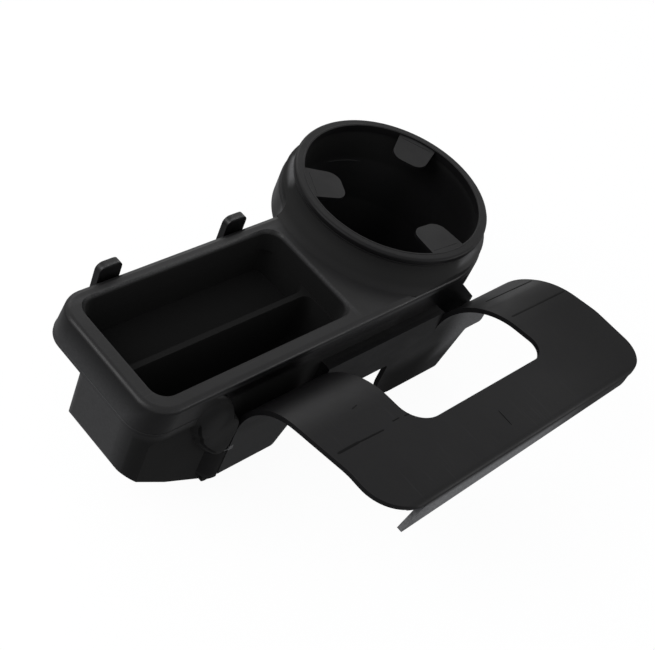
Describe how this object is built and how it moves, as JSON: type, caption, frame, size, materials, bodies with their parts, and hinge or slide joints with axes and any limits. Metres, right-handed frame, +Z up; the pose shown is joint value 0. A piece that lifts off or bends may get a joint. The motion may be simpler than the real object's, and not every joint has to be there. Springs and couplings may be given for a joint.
{
  "type": "car cup holder",
  "caption": "Black moulded car cup holder: a round cup with three grip fingers beside a deep oblong tray, hung on the side of a console by a bent plate bracket with a window.",
  "frame": {"origin": "centre of the underside of the cup", "axes": "+Z up along the cup's axis, +X along the housing from the tray's far end to the cup, -Y from the housing's front wall out over the bracket plate"},
  "size_m": [0.2156, 0.1686, 0.082],
  "materials": {
    "housing": "satin",
    "grip": "satin",
    "bracket": "satin"
  },
  "bodies": {
    "root": {"housing": "housing", "grip_ring": "grip", "saddle_bracket": "bracket"}
  },
  "joints": []
}
